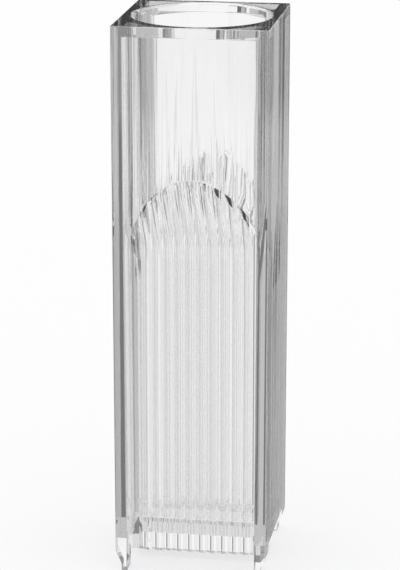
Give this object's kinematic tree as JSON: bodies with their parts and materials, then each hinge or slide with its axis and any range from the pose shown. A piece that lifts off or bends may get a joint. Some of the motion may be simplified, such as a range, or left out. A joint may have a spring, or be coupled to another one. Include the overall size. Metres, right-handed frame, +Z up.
{
  "type": "semi-micro cuvette",
  "caption": "Clear square cuvette with a round mouth, two flat window plates, a narrow chamber between ribbed walls, leaning shoulders and bevelled feet.",
  "frame": {"origin": "centre of the square footprint, on the plane that the four feet stand on", "axes": "+Z up along the mouth's axis, X along the light path through the two window plates, Y from one ribbed side to the other"},
  "size_m": [0.0126, 0.0126, 0.045],
  "materials": {
    "clear_polystyrene": "clear injection-moulded polystyrene with polished windows"
  },
  "bodies": {
    "root": {"cuvette": "clear_polystyrene"}
  },
  "joints": []
}
